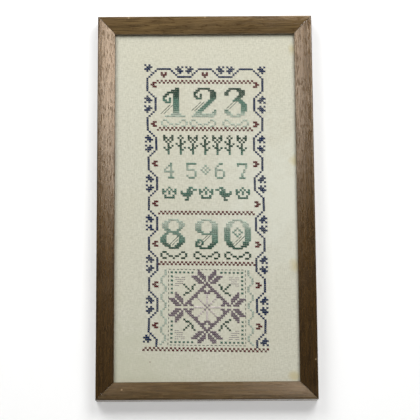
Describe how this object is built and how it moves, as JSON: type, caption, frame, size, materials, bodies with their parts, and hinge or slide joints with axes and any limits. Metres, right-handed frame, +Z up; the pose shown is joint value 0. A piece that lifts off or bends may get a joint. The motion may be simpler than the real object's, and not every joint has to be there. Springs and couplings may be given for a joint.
{
  "type": "cross stitch sampler in a wooden picture frame",
  "caption": "Upright cross stitch sampler on stretched even-weave linen in a slim mitred wooden frame, flat at the back so that it hangs on a wall.",
  "frame": {"origin": "middle of the top rail's flat back, where the frame bears on the wall", "axes": "+X to the viewer's right, +Y out of the back into the wall, +Z up; the embroidered face looks along -Y"},
  "size_m": [0.1906, 0.0178, 0.3415],
  "materials": {
    "stained_wood": "brown stained open-pored hardwood under a thin wax, satin",
    "linen": "cream even-weave linen with cotton cross stitches, matt",
    "grey_board": "plain grey-brown board, matt"
  },
  "bodies": {
    "root": {"rail_top": "stained_wood", "rail_right": "stained_wood", "rail_bottom": "stained_wood", "rail_left": "stained_wood", "linen_cloth": "linen", "backing_board": "grey_board"}
  },
  "joints": []
}
